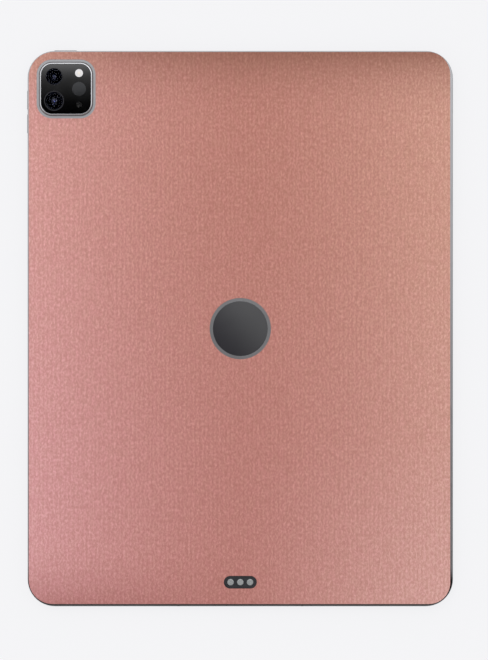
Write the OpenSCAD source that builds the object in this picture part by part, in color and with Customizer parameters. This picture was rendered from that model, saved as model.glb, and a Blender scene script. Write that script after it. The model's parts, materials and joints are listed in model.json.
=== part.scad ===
// Tablet computer with a stick-on rear skin, lying screen down.
// The origin is the middle of the cover glass, on its outer face, which is the face that it rests on.
// +X points to the right as the back is seen, +Y to the top edge and +Z out of the back. Millimetres.

/* [Body] */
// Width of the housing over its long side walls
body_w = 214.9; // [214:0.1:220]
// Length of the housing over its top and bottom walls
body_l = 280.6; // [280:0.1:286]
// Height of the housing's back above the resting face
body_t = 5.9; // [5.9:0.1:6.4]
// Radius of the four corners, seen from the back
corner_r = 13.7; // [12:0.1:15]
// Thickness of the side walls
side_wall = 2; // [1.8:0.1:2.2]
// Thickness of the back wall
back_wall = 0.8; // [0.6:0.05:0.8]
// Radius of the rounded edge between the sides and the back
edge_r = 0.45; // [0.3:0.05:0.6]

/* [Display] */
// Thickness of the cover glass
glass_t = 0.7; // [0.6:0.05:0.8]
// Width of the metal rim and gasket around the cover glass
glass_inset = 1; // [0.9:0.05:1.1]
// Width of the lit picture area
screen_w = 197; // [190:0.5:197]
// Length of the lit picture area
screen_l = 262.8; // [255:0.1:262.8]

/* [Rear skin] */
// Thickness of the leather-look film
skin_t = 0.2; // [0.15:0.05:0.3]
// Metal left bare along the left side
skin_gap_left = 0.6; // [0.5:0.1:1.4]
// Metal left bare along the right side
skin_gap_right = 1.4; // [0.6:0.1:1.6]
// Metal left bare along the top edge
skin_gap_top = 0.5; // [0.5:0.1:1.2]
// Metal left bare along the bottom edge
skin_gap_bottom = 1.2; // [0.6:0.1:1.4]
// Metal left bare across the two top corners
skin_gap_top_corners = 0.35; // [0.3:0.05:0.5]
// Metal left bare across the two bottom corners
skin_gap_bottom_corners = 0.6; // [0.3:0.05:0.8]

/* [Rear camera] */
// Distance from the housing's left side to the middle of the camera plateau
camera_from_left = 19.45; // [19.2:0.05:19.7]
// Distance from the housing's top edge to the middle of the camera plateau
camera_from_top = 19.2; // [19:0.05:19.4]
// Side of the camera plateau's metal frame
camera_frame_w = 26.4; // [26.2:0.1:26.8]
// Height of the plateau above the housing's back
camera_rise = 1.8; // [1.6:0.1:2.2]
// Side of the skin's window around the plateau
camera_window_w = 29.8; // [29:0.1:30.5]
// Radius of the main lens ring
wide_ring_r = 5; // [4.8:0.05:5.2]
// Radius of the ultra-wide lens ring
ultrawide_ring_r = 4.35; // [4.2:0.05:4.5]

/* [Buttons] */
// Length of the power button
power_len = 11.4; // [10:0.1:12]
// Length of each volume button
volume_len = 9.6; // [9:0.1:9.8]
// Width of every button across the side wall
button_w = 2.3; // [2:0.1:2.6]
// How far the power button stands out at rest
power_proud = 0.4; // [0.3:0.05:0.6]
// How far the volume buttons stand out at rest
volume_proud = 0.3; // [0.3:0.05:0.6]

/* [Ports] */
// Inner width of the charging socket
usb_w = 8.34; // [8.34:0.01:8.36]
// Inner height of the charging socket
usb_h = 2.56; // [2.56:0.01:2.6]
// Length of the accessory connector's pad
pad_len = 16.7; // [16:0.1:17.5]
// Width of the accessory connector's pad
pad_w = 6.4; // [6:0.1:6.8]
// Number of sound holes in each of the four grilles
sound_holes = 10; // [6:1:11]
// Radius of the plain disc let into the middle of the back
emblem_r = 13.8; // [10:0.1:15]

/* [Hidden] */
$fn = 64;

half_w = body_w / 2;
half_l = body_l / 2;
fit_gap = 0.03;                      // between pieces that are glued or pressed together
slide_gap = 0.12;                    // around a button in its slot
past = 1;                            // how far a cut runs past the face that it opens

// Heights, from the resting face up
rim_z = 0.12;                        // the housing's rim, just clear of the table
mask_t = 0.1;
ledge_z = glass_t + mask_t;          // the housing's ledge that carries the glass
panel_t = 0.9;
backlight_z = ledge_z + panel_t;
backlight_t = 0.5;
roof_z = body_t - back_wall;         // inner face of the back wall
side_mid_z = 3.05;                   // middle of the buttons and the charging socket
board_z = 3;
board_t = 0.6;
camera_top_z = body_t + camera_rise;
lens_glass_t = 0.8;
lens_glass_z = camera_top_z - lens_glass_t;

inner_x = half_w - side_wall;
inner_y = half_l - side_wall;
inner_r = corner_r - side_wall;
glass_w = body_w - 2 * glass_inset;
glass_l = body_l - 2 * glass_inset;
glass_r = corner_r - glass_inset;
gasket_t = 0.25;

skin_w = body_w - skin_gap_left - skin_gap_right;
skin_l = body_l - skin_gap_top - skin_gap_bottom;
// From the top right corner, anticlockwise
SKIN_RADII = [
    skin_corner_r(skin_gap_right, skin_gap_top, skin_gap_top_corners),
    skin_corner_r(skin_gap_left, skin_gap_top, skin_gap_top_corners),
    skin_corner_r(skin_gap_left, skin_gap_bottom, skin_gap_bottom_corners),
    skin_corner_r(skin_gap_right, skin_gap_bottom, skin_gap_bottom_corners)
];
skin_x = (skin_gap_left - skin_gap_right) / 2;
skin_y = (skin_gap_bottom - skin_gap_top) / 2;

// The rear camera plateau, seen from the back
camera_x = -half_w + camera_from_left;
camera_y = half_l - camera_from_top;
camera_frame_r = 6.15;
camera_edge_r = 0.45;                // round of the frame's upper edge
camera_seal_w = camera_frame_w + 1;
camera_seal_h = 0.45;
camera_glass_w = camera_frame_w - 1.1;
camera_glass_r = 5.6;
camera_skirt_w = camera_frame_w - 2.2;
camera_skirt_r = 5;
camera_clear_w = camera_frame_w - 3.8;
camera_clear_r = 4.2;
camera_window_r = 7.8;
wide_at = [camera_x - 6, camera_y - 6.1];
ultrawide_at = [camera_x - 6, camera_y + 6.1];
flash_at = [camera_x + 6.6, camera_y + 7.9];
depth_at = [camera_x + 6.6, camera_y - 0.1];
microphone_at = [camera_x + 6.6, camera_y - 8];
flash_r = 2;
depth_r = 3.5;
microphone_r = 1.4;
wide_ring_t = 0.45;                  // thickness of a lens ring's wall
ultrawide_ring_t = 0.3;
wide_ring_rise = 0.12;               // height of a lens ring above the glass
ultrawide_ring_rise = 0.06;
lens_drop = 0.3;                     // from the glass's face down to the edge of a lens's dome
lens_crown = 0.2;                    // height of a lens's dome
mesh_drop = 0.05;                    // from the glass's face down to the microphone's mesh

// The modules behind the plateau's glass
module_z = 3;                        // lower face of the camera modules
module_gap = 0.05;                   // between a module and the glass
wide_module_w = 10.4;
wide_barrel_r = 4.3;
ultrawide_module_w = 9.6;
ultrawide_barrel_r = 3.9;
BARREL_STEPS = [[0.7, 0.4], [1.6, 0.8], [2.6, 1.2]]; // each step's inset and its depth
depth_module_w = 7.6;
depth_eye_r = 1.2;
depth_eye_y = 1.6;                   // from the module's middle to each of its two eyes
led_base_w = 4.4;
led_w = 2.4;

// Buttons: the middle of each along its edge
power_x = -88.4;
volume_up_y = 115.6;
volume_down_y = 103.6;
button_flange_t = 0.6;
button_nub_t = 0.25;
button_clear = 0.05;                 // between a button's flange and the inside of the wall
button_travel = 0.25;
switch_clear = button_travel + 0.05; // between a button at rest and its switch
switch_t = 0.8;
bracket_t = 0.4;
POWER_EARS = [0.5, 12.4];            // screws along the power button's bracket, from its middle
volume_mid_y = (volume_up_y + volume_down_y) / 2;
volume_ear = (volume_up_y - volume_down_y) / 2 + 7;

// The accessory connector and the charging socket
pad_y = -half_l + 12.2;
contact_r = 1.6;
contact_pitch = 4.92;
usb_shell_t = 0.31;
usb_depth = 6.8;
usb_recess = 0.2;                    // from the wall's outer face to the socket's mouth
usb_end = -usb_recess - usb_depth;   // the socket's closed end, measured like its mouth
usb_base_t = 1.6;
tongue_w = 6.69;
tongue_t = 0.7;
tongue_l = 4.6;
usb_pitch = 0.5;
usb_contact_w = 0.25;
usb_contact_t = 0.05;

sound_hole_r = 0.55;
sound_hole_pitch = 2.6;
speaker_x = 54;
speaker_w = 34;
speaker_l = 24;
speaker_y = inner_y - speaker_l / 2 - 4.3;
speaker_z = 2.6;
diaphragm_r = 8;
grille_w = sound_holes * sound_hole_pitch;
grille_z = side_mid_z - 0.75;        // the box's nose and the mesh behind a row of sound holes
grille_h = 1.9;
mesh_t = 0.2;

antenna_break_x = 31.2;
antenna_break_w = 1.3;
stylus_window_l = 34;
stylus_window_w = 2.8;
coil_l = 30;
coil_w = 2.8;
coil_t = 1.3;
emblem_t = 0.4;
emblem_gap = 0.06;                   // around the disc, in its recess
emblem_margin = 1.7;                 // metal left bare around the disc by the skin

// The row of sensors behind the glass, above the screen
front_sensor_y = half_l - 4.75;
front_camera_x = 0;
infrared_x = -8.5;
projector_x = 8.5;
ambient_x = 16.5;
front_camera_eye_r = 1.4;
infrared_eye_r = 1.2;
projector_eye_r = 1.2;
ambient_eye_r = 0.8;
eye_h = 0.5;
EYES = [
    [front_camera_x, front_camera_eye_r], [infrared_x, infrared_eye_r],
    [projector_x, projector_eye_r], [ambient_x, ambient_eye_r]
];
FRONT_SCREW_X = [infrared_x - 5, ambient_x + 4.5];
front_bracket_z = 3.25;
front_bracket_t = 0.35;

// The picture layers behind the glass
display_w = screen_w + 3;
display_l = screen_l + 2.8;
backlight_w = display_w - 2;
backlight_l = display_l - 2;

// Batteries on both sides of the logic board
battery_in = 21;
battery_out = 98.5;
battery_half_l = 103;
battery_z = 2.5;
battery_edge_r = 0.8;
battery_tab_w = 8;
battery_tab_z = 3.4;
battery_tab_t = 0.3;
battery_board_y = -82;
battery_board_z = 3.2;
battery_board_t = 0.7;
adhesive_t = 0.15;
ADHESIVE_X = [-80, -60, -40, 40, 60, 80];
MAGNET_Y = [-84, -60, -36, 36, 60, 84];

// The logic board, from its lower end to its upper end
board_half_w = 17.5;
board_low_y = -62;
board_high_y = 102;
BOARD_SCREWS = [
    for (x = [-1, 1], y = [board_low_y + 3, board_high_y - 3])
        [x * (board_half_w - 2), y]
];
socket_h = 0.3;                      // of the sockets that the cables plug into
CAN_Y = [60, -4];                    // the middle of each shielded stretch, and its length
CAN_L = [58, 56];
can_w = 29;
can_t = 0.2;
can_z = board_z + board_t;
can_h = 1.2;
processor_w = 16;
processor_t = 0.8;
storage_t = 0.7;
STORAGE_AT = [[-6.5, 42], [6.5, 42], [-6.5, 2], [6.5, 2], [-6.5, -18]];
graphite_t = 0.1;

screw_r = 0.6;
screw_clear_r = screw_r + 0.1;
screw_head_r = 1;
screw_head_t = 0.45;
screw_bite = 1.1;                    // how far a screw reaches into its boss
boss_r = 1.2;
cross_w = 0.24;                      // of a screw's cross slot
cross_l = 1.2;
cross_depth = 0.25;

// Where a button bracket's screws stand, inwards from the wall's inner face
bracket_screw_in = 3.9;
bracket_tab_z = 3.4;
camera_bracket_z = 2.75;
camera_bracket_t = 0.25;
camera_screw_x = camera_x + 13.4;
CAMERA_SCREW_Y = [camera_y - 9, camera_y + 9];

// Every screw: x, y, the face under its head, and the top face of what it holds
SCREWS = concat(
    [for (at = BOARD_SCREWS)
        [at[0], at[1], board_z, board_z + board_t]],
    [for (y = CAMERA_SCREW_Y)
        [camera_screw_x, y, camera_bracket_z, camera_bracket_z + camera_bracket_t]],
    [for (y = [volume_mid_y - volume_ear, volume_mid_y + volume_ear])
        [-inner_x + bracket_screw_in, y, bracket_tab_z, bracket_tab_z + bracket_t]],
    [for (x = POWER_EARS)
        [power_x + x, inner_y - bracket_screw_in, bracket_tab_z, bracket_tab_z + bracket_t]],
    [for (x = FRONT_SCREW_X)
        [x, front_sensor_y, front_bracket_z, front_bracket_z + front_bracket_t]]
);

// The radius of a skin corner between two side gaps that leaves the corner gap bare outside it
function skin_corner_r(side_gap, end_gap, corner_gap) =
    corner_r + (corner_gap - (side_gap + end_gap) / sqrt(2)) / (sqrt(2) - 1);

// Points along an arc, for the outline of a rounded edge
function arc(cx, cy, r, from, to, steps) = [
    for (i = [0:steps])
        let (a = from + (to - from) * i / steps)
        [cx + r * cos(a), cy + r * sin(a)]
];

// A slab with round corners and a shaped edge. The profile's x runs from the middle of the
// corner out to r, and its y is height. Nine pieces meet face to face.
module shaped_slab(w, l, r, low, high, profile) {
    run_x = w - 2 * r;
    run_y = l - 2 * r;
    translate([-run_x / 2, -run_y / 2, low])
        cube([run_x, run_y, high - low]);
    for (turn = [0, 180])
        rotate([0, 0, turn]) {
            translate([run_x / 2, run_y / 2, 0])
                rotate([90, 0, 0])
                    linear_extrude(run_y)
                        polygon(profile);
            translate([-run_x / 2, run_y / 2, 0])
                rotate([90, 0, 90])
                    linear_extrude(run_x)
                        polygon(profile);
            translate([run_x / 2, run_y / 2, 0])
                rotate_extrude(angle = 90)
                    polygon(profile);
            translate([-run_x / 2, run_y / 2, 0])
                rotate([0, 0, 90])
                    rotate_extrude(angle = 90)
                        polygon(profile);
        }
}

// A slab with round corners and square edges
module slab(w, l, r, low, high) {
    shaped_slab(w, l, r, low, high, [[0, low], [r, low], [r, high], [0, high]]);
}

// A slab with square edges, whose corners have a radius each, from the top right anticlockwise.
// Four quarter discs fill the corners that its outline leaves out.
module four_radius_slab(w, l, radii, low, high) {
    SIGNS = [[1, 1], [-1, 1], [-1, -1], [1, -1]];
    translate([0, 0, low])
        linear_extrude(high - low)
            polygon([
                for (i = [0:3])
                    let (x = SIGNS[i][0], y = SIGNS[i][1], in_x = w / 2 - radii[i],
                        in_y = l / 2 - radii[i], by_side = [x * w / 2, y * in_y],
                        by_end = [x * in_x, y * l / 2])
                    for (point = [x * y > 0 ? by_side : by_end, [x * in_x, y * in_y],
                                  x * y > 0 ? by_end : by_side])
                        point
            ]);
    for (i = [0:3]) {
        r = radii[i];
        translate([SIGNS[i][0] * (w / 2 - r), SIGNS[i][1] * (l / 2 - r), 0])
            rotate([0, 0, 90 * i])
                rotate_extrude(angle = 90)
                    polygon([[0, low], [r, low], [r, high], [0, high]]);
    }
}

// A slab whose upper edge is rounded by radius e
module soft_slab(w, l, r, low, high, e, steps = 4) {
    shaped_slab(w, l, r, low, high,
        concat([[0, low], [r, low]], arc(r - e, high - e, e, 0, 90, steps), [[0, high]]));
}

// A bar with half-round ends. It lies along X, and its depth runs up Z from low to high.
// The upper edge has a chamfer of size e.
module bar(len, dia, low, high, e = 0) {
    r = dia / 2;
    side = e > 0 ? [[r, low], [r, high - e], [r - e, high]] : [[r, low], [r, high]];
    profile = concat([[0, low]], side, [[0, high]]);
    for (turn = [0, 180])
        rotate([0, 0, turn]) {
            translate([len / 2 - r, 0, 0])
                rotate([0, 0, -90])
                    rotate_extrude(angle = 180)
                        polygon(profile);
            translate([-(len / 2 - r), 0, 0])
                rotate([90, 0, 90])
                    linear_extrude(len - dia)
                        polygon(profile);
        }
}

// A plain disc, standing on low and reaching high
module disc(at, r, low, high) {
    translate([at[0], at[1], low])
        cylinder(r = r, h = high - low);
}

// A square plate or block with round corners, centred on a point
module block(at, w, l, r, low, high) {
    translate([at[0], at[1], 0])
        slab(w, l, r, low, high);
}

// These put something on a wall: its Z then points out of the wall, from the outer face,
// and its X runs along the wall.
module on_left_wall(y) {
    translate([-half_w, y, side_mid_z])
        rotate([0, -90, 0])
            rotate([0, 0, 90])
                children();
}

module on_top_wall(x) {
    translate([x, half_l, side_mid_z])
        rotate([-90, 0, 0])
            children();
}

module on_bottom_wall(x) {
    translate([x, -half_l, side_mid_z])
        rotate([90, 0, 0])
            children();
}

module at_camera() {
    translate([camera_x, camera_y, 0])
        children();
}

// ---- Rear skin and housing ----

module back_skin() {
    color("rosybrown")
        difference() {
            translate([skin_x, skin_y, 0])
                four_radius_slab(skin_w, skin_l, SKIN_RADII, body_t, body_t + skin_t);
            at_camera()
                slab(camera_window_w, camera_window_w, camera_window_r,
                    body_t - past, body_t + past);
            disc([0, 0], emblem_r + emblem_margin, body_t - past, body_t + past);
            translate([0, pad_y, 0])
                bar(pad_len, pad_w, body_t - past, body_t + past);
        }
}

module housing_body() {
    shaped_slab(body_w, body_l, corner_r, rim_z, body_t,
        concat(
            [[0, rim_z], [corner_r - 0.2, rim_z], [corner_r, rim_z + 0.2]],
            arc(corner_r - edge_r, body_t - edge_r, edge_r, 0, 90, 5),
            [[0, body_t]]
        ));
}

module antenna_cuts() {
    for (x = [-antenna_break_x, antenna_break_x])
        translate([x - antenna_break_w / 2, -half_l - past, ledge_z])
            cube([antenna_break_w, side_wall + past, body_t - ledge_z + past]);
}

// A row of sound holes through the top wall (side = 1) or the bottom wall (side = -1)
module sound_row(x, side) {
    for (i = [0:sound_holes - 1])
        translate([
            x + (i - (sound_holes - 1) / 2) * sound_hole_pitch,
            side * (half_l - side_wall / 2),
            side_mid_z
        ])
            rotate([90, 0, 0])
                cylinder(r = sound_hole_r, h = side_wall + past, center = true);
}

module button_slot(len) {
    bar(len + 2 * slide_gap, button_w + 2 * slide_gap, -side_wall - past, past);
}

module rear_housing() {
    color("silver") {
        difference() {
            housing_body();
            slab(glass_w + 2 * gasket_t, glass_l + 2 * gasket_t, glass_r + gasket_t,
                rim_z - past, ledge_z);
            slab(2 * inner_x, 2 * inner_y, inner_r, ledge_z - past / 2, roof_z);
            at_camera()
                slab(camera_skirt_w + 2 * fit_gap, camera_skirt_w + 2 * fit_gap, camera_skirt_r,
                    roof_z - past, body_t + past);
            disc([0, 0], emblem_r + emblem_gap, body_t - emblem_t, body_t + past);
            translate([0, pad_y, 0])
                bar(pad_len, pad_w, roof_z - past, body_t + past);
            on_top_wall(power_x)
                button_slot(power_len);
            on_left_wall(volume_up_y)
                button_slot(volume_len);
            on_left_wall(volume_down_y)
                button_slot(volume_len);
            on_left_wall(0)
                bar(stylus_window_l, stylus_window_w, -side_wall - past, past);
            on_bottom_wall(0)
                bar(usb_w + 2 * usb_shell_t + 2 * fit_gap, usb_h + 2 * usb_shell_t + 2 * fit_gap,
                    -side_wall - past, past);
            antenna_cuts();
            for (x = [-speaker_x, speaker_x], side = [-1, 1])
                sound_row(x, side);
        }
        for (s = SCREWS)
            difference() {
                disc(s, boss_r, s[3], roof_z);
                disc(s, screw_r + fit_gap, s[3] - past, s[3] + screw_bite);
            }
    }
}

module antenna_breaks() {
    color("dimgray")
        difference() {
            intersection() {
                housing_body();
                antenna_cuts();
            }
            slab(2 * inner_x, 2 * inner_y, inner_r, ledge_z - past / 2, roof_z);
        }
}

module stylus_charging_window() {
    color("gray")
        on_left_wall(0)
            bar(stylus_window_l, stylus_window_w, -side_wall, 0);
}

module rear_emblem() {
    color("dimgray")
        disc([0, 0], emblem_r, body_t - emblem_t, body_t);
}

// ---- Camera plateau ----

module camera_frame() {
    color("lightgray")
        at_camera()
            difference() {
                union() {
                    soft_slab(camera_frame_w, camera_frame_w, camera_frame_r,
                        body_t, camera_top_z, camera_edge_r, 5);
                    slab(camera_skirt_w, camera_skirt_w, camera_skirt_r, roof_z, body_t);
                }
                slab(camera_glass_w + 2 * fit_gap, camera_glass_w + 2 * fit_gap,
                    camera_glass_r + fit_gap, lens_glass_z, camera_top_z + past);
                slab(camera_clear_w, camera_clear_w, camera_clear_r,
                    roof_z - past, camera_top_z);
            }
}

module camera_frame_seal() {
    color("black")
        at_camera()
            difference() {
                soft_slab(camera_seal_w, camera_seal_w, camera_frame_r + 0.5,
                    body_t, body_t + camera_seal_h, 0.25, 3);
                slab(camera_frame_w + 2 * fit_gap, camera_frame_w + 2 * fit_gap,
                    camera_frame_r + fit_gap, body_t - past, body_t + past);
            }
}

module camera_glass() {
    low = lens_glass_z - past;
    high = camera_top_z + past;
    color("black")
        difference() {
            at_camera()
                slab(camera_glass_w, camera_glass_w, camera_glass_r, lens_glass_z, camera_top_z);
            disc(wide_at, wide_ring_r + fit_gap, low, high);
            disc(ultrawide_at, ultrawide_ring_r + fit_gap, low, high);
            disc(flash_at, flash_r + fit_gap, low, high);
            disc(depth_at, depth_r + fit_gap, low, high);
            disc(microphone_at, microphone_r + fit_gap, low, high);
        }
}

// A lens ring with a wall of thickness t, a small outer chamfer and a sloping inner lip
module lens_ring(at, r, t, rise) {
    low = lens_glass_z;
    high = camera_top_z + rise;
    inner = r - t;
    translate([at[0], at[1], 0])
        rotate_extrude()
            polygon([
                [inner, low], [r, low], [r, high - 0.06], [r - 0.06, high],
                [inner + 0.1, high], [inner, high - 0.25]
            ]);
}

// A lens with a shallow domed front
module lens(at, r) {
    edge_z = camera_top_z - lens_drop;
    dome = (r * r + lens_crown * lens_crown) / (2 * lens_crown);
    half_angle = asin(r / dome);
    translate([at[0], at[1], 0])
        rotate_extrude()
            polygon(concat(
                [[0, lens_glass_z + module_gap], [r, lens_glass_z + module_gap]],
                arc(0, edge_z + lens_crown - dome, dome, 90 - half_angle, 90, 6)
            ));
}

module wide_lens_ring() {
    color("gray")
        lens_ring(wide_at, wide_ring_r, wide_ring_t, wide_ring_rise);
}

module wide_lens() {
    color("midnightblue")
        lens(wide_at, wide_ring_r - wide_ring_t - fit_gap);
}

module ultrawide_lens_ring() {
    color("black")
        lens_ring(ultrawide_at, ultrawide_ring_r, ultrawide_ring_t, ultrawide_ring_rise);
}

module ultrawide_lens() {
    color("midnightblue")
        lens(ultrawide_at, ultrawide_ring_r - ultrawide_ring_t - fit_gap);
}

module flash_diffuser() {
    color("white")
        disc(flash_at, flash_r, lens_glass_z, camera_top_z);
}

module depth_sensor_window() {
    color("darkslategray")
        disc(depth_at, depth_r, lens_glass_z, camera_top_z);
}

module rear_microphone_mesh() {
    color("dimgray")
        disc(microphone_at, microphone_r, camera_top_z - 0.3, camera_top_z - mesh_drop);
}

// A camera module: a square base, a round barrel and a stepped recess in front of its lens stack
module camera_module(at, w, barrel_r) {
    top = lens_glass_z - module_gap;
    difference() {
        union() {
            block(at, w, w, 0.8, module_z, roof_z - 0.1);
            disc(at, barrel_r, roof_z - 0.1, top);
        }
        for (step = BARREL_STEPS)
            disc(at, barrel_r - step[0], top - step[1], top + past);
    }
}

module wide_camera_module() {
    color("darkslateblue")
        camera_module(wide_at, wide_module_w, wide_barrel_r);
}

module ultrawide_camera_module() {
    color("darkslateblue")
        camera_module(ultrawide_at, ultrawide_module_w, ultrawide_barrel_r);
}

module depth_sensor_module() {
    color("teal")
        difference() {
            block(depth_at, depth_module_w, depth_module_w, 0.6, module_z,
                lens_glass_z - module_gap);
            for (side = [-1, 1])
                disc([depth_at[0], depth_at[1] + side * depth_eye_y], depth_eye_r,
                    lens_glass_z - 0.5, lens_glass_z);
        }
}

module flash_led() {
    color("khaki")
        union() {
            block(flash_at, led_base_w, led_base_w, 0.5, module_z, lens_glass_z - 0.4);
            block(flash_at, led_w, led_w, 0.3, lens_glass_z - 0.4, lens_glass_z - module_gap);
        }
}

module camera_bracket() {
    low = camera_bracket_z;
    high = low + camera_bracket_t;
    color("lightsteelblue")
        difference() {
            union() {
                block([camera_x + 1.3, camera_y], 26.7, 22.6, 1.5, low, high);
                for (at = [wide_at, ultrawide_at])
                    disc(at, 1.2, low - 0.15, low);
            }
            disc(depth_at, 1.5, low - past, high + past);
            for (y = CAMERA_SCREW_Y)
                disc([camera_screw_x, y], screw_clear_r, low - past, high + past);
        }
}

// ---- Accessory connector ----

module connector_pad() {
    color("darkslategray")
        difference() {
            translate([0, pad_y, 0])
                bar(pad_len - 2 * fit_gap, pad_w - 2 * fit_gap, roof_z, body_t);
            for (i = [-1:1])
                disc([i * contact_pitch, pad_y], contact_r + fit_gap, roof_z - past, body_t + past);
        }
}

module connector_contacts() {
    color("silver")
        for (i = [-1:1])
            translate([i * contact_pitch, pad_y, 0])
                rotate_extrude()
                    polygon([
                        [0, roof_z], [contact_r, roof_z], [contact_r, body_t],
                        [contact_r - 0.2, body_t + 0.04], [0.45, body_t + 0.04],
                        [0.3, body_t - 0.1], [0, body_t - 0.1]
                    ]);
}

// ---- Buttons, their switches and brackets ----

// Faces of a button's flange and of a switch, measured outwards from the wall's outer face
flange_top = -side_wall - button_clear;
flange_low = flange_top - button_flange_t;
switch_face = flange_low - button_nub_t - switch_clear;

// A cap that runs in its slot, and a nub that presses the switch
module cap_and_nub(len, proud) {
    bar(len, button_w, flange_low + button_flange_t / 2, proud, 0.15);
    translate([0, 0, flange_low - button_nub_t])
        cylinder(r = 0.8, h = button_nub_t + button_flange_t / 2);
}

// Joins a button's cap and nub to the flange that keeps it in. The flange is trimmed to stay
// clear of the walls, and of the rounded corners where they meet. The cap is child 0.
module flanged() {
    union() {
        children(0);
        intersection() {
            children(1);
            slab(2 * (inner_x - button_clear), 2 * (inner_y - button_clear),
                inner_r - button_clear, ledge_z, roof_z);
        }
    }
}

module flange(len) {
    bar(len + 1.2, button_w + 0.8, flange_low, flange_top + past);
}

module dome_switch() {
    union() {
        translate([0, 0, switch_face - 0.2])
            cylinder(r = 1.1, h = 0.2);
        translate([-2, -1.1, switch_face - switch_t])
            cube([4, 2.2, switch_t - 0.2]);
    }
}

module power_button() {
    color("lightgray")
        flanged() {
            on_top_wall(power_x)
                cap_and_nub(power_len, power_proud);
            on_top_wall(power_x)
                flange(power_len);
        }
}

module volume_up_button() {
    color("lightgray")
        flanged() {
            on_left_wall(volume_up_y)
                cap_and_nub(volume_len, volume_proud);
            on_left_wall(volume_up_y)
                flange(volume_len);
        }
}

module volume_down_button() {
    color("lightgray")
        flanged() {
            on_left_wall(volume_down_y)
                cap_and_nub(volume_len, volume_proud);
            on_left_wall(volume_down_y)
                flange(volume_len);
        }
}

module power_button_switch() {
    color("goldenrod")
        on_top_wall(power_x)
            dome_switch();
}

module volume_button_switches() {
    color("goldenrod")
        for (y = [volume_up_y, volume_down_y])
            on_left_wall(y)
                dome_switch();
}

// An upright strip behind the switches, with a drilled ear at each screw.
// low and high are its ends along the wall, and ears lists where its screws are.
module bracket(low, high, ears) {
    back = switch_face - switch_t;
    ear_low = bracket_tab_z - side_mid_z;
    difference() {
        union() {
            translate([low, -1.6, back - bracket_t])
                cube([high - low, 3.2, bracket_t]);
            for (x = ears)
                translate([x - 1.3, -ear_low - bracket_t, -side_wall - bracket_screw_in - 1.2])
                    cube([2.6, bracket_t, back + side_wall + bracket_screw_in + 1.2]);
        }
        for (x = ears)
            translate([x, 0, -side_wall - bracket_screw_in])
                rotate([90, 0, 0])
                    cylinder(r = screw_clear_r, h = 6, center = true);
    }
}

module button_brackets() {
    color("lightsteelblue") {
        on_left_wall(volume_mid_y)
            bracket(-volume_ear - 1.3, volume_ear + 1.3, [-volume_ear, volume_ear]);
        on_top_wall(power_x)
            bracket(-5, POWER_EARS[1] + 1.3, POWER_EARS);
    }
}

// ---- Charging socket ----

module usb_c_shell() {
    outer_w = usb_w + 2 * usb_shell_t;
    outer_h = usb_h + 2 * usb_shell_t;
    color("gainsboro")
        on_bottom_wall(0)
            difference() {
                bar(outer_w, outer_h, usb_end, -usb_recess);
                bar(usb_w, usb_h, usb_end - past, past);
            }
}

module usb_c_tongue() {
    color("black")
        on_bottom_wall(0)
            union() {
                bar(usb_w - 2 * fit_gap, usb_h - 2 * fit_gap,
                    usb_end, usb_end + usb_base_t);
                translate([-tongue_w / 2, -tongue_t / 2, usb_end + usb_base_t])
                    cube([tongue_w, tongue_t, tongue_l]);
            }
}

module usb_c_contacts() {
    color("gold")
        on_bottom_wall(0)
            for (i = [0:11], side = [-1, 1])
                translate([
                    (i - 5.5) * usb_pitch - usb_contact_w / 2,
                    side * (tongue_t + usb_contact_t) / 2 - usb_contact_t / 2,
                    usb_end + usb_base_t + 0.2
                ])
                    cube([usb_contact_w, usb_contact_t, tongue_l - 0.8]);
}

// ---- Display side ----

module cover_glass() {
    r = glass_r;
    color("lightcyan")
        shaped_slab(glass_w - 2 * fit_gap, glass_l - 2 * fit_gap, r, 0, glass_t,
            [[0, 0], [r - 0.2, 0], [r, 0.2], [r, glass_t], [0, glass_t]]);
}

module glass_gasket() {
    color("black")
        difference() {
            slab(glass_w + 2 * gasket_t - 2 * fit_gap, glass_l + 2 * gasket_t - 2 * fit_gap,
                glass_r + gasket_t, rim_z, ledge_z);
            slab(glass_w, glass_l, glass_r, rim_z - past, ledge_z + past);
        }
}

module border_mask() {
    color("black")
        difference() {
            slab(glass_w - 1, glass_l - 1, glass_r - 0.5, glass_t, ledge_z);
            slab(screen_w, screen_l, 4, glass_t - past, ledge_z + past);
            for (eye = EYES)
                disc([eye[0], front_sensor_y], eye[1] + 0.1, glass_t - past, ledge_z + past);
        }
}

module display_panel() {
    color("darkslategray")
        slab(display_w, display_l, 5, ledge_z, backlight_z);
}

module backlight_unit() {
    color("whitesmoke")
        slab(backlight_w, backlight_l, 4, backlight_z, backlight_z + backlight_t);
}

// A small sensor: a block with a round eye that looks out through the glass
module front_sensor(x, w, eye_r) {
    at = [x, front_sensor_y];
    low = ledge_z;
    union() {
        disc(at, eye_r, low, low + eye_h);
        block(at, w, 4.2, 0.4, low + eye_h, front_bracket_z);
    }
}

module front_camera() {
    color("darkslateblue")
        front_sensor(front_camera_x, 6, front_camera_eye_r);
}

module infrared_camera() {
    color("indigo")
        front_sensor(infrared_x, 5.4, infrared_eye_r);
}

module dot_projector() {
    color("purple")
        front_sensor(projector_x, 5.4, projector_eye_r);
}

module ambient_light_sensor() {
    color("olive")
        front_sensor(ambient_x, 2.8, ambient_eye_r);
}

module front_sensor_bracket() {
    low = front_bracket_z;
    high = low + front_bracket_t;
    middle = (infrared_x + ambient_x) / 2;
    color("lightsteelblue")
        difference() {
            block([middle, front_sensor_y], ambient_x - infrared_x + 13, 4.6, 1, low, high);
            for (x = FRONT_SCREW_X)
                disc([x, front_sensor_y], screw_clear_r, low - past, high + past);
        }
}

// ---- Electronics ----

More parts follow.
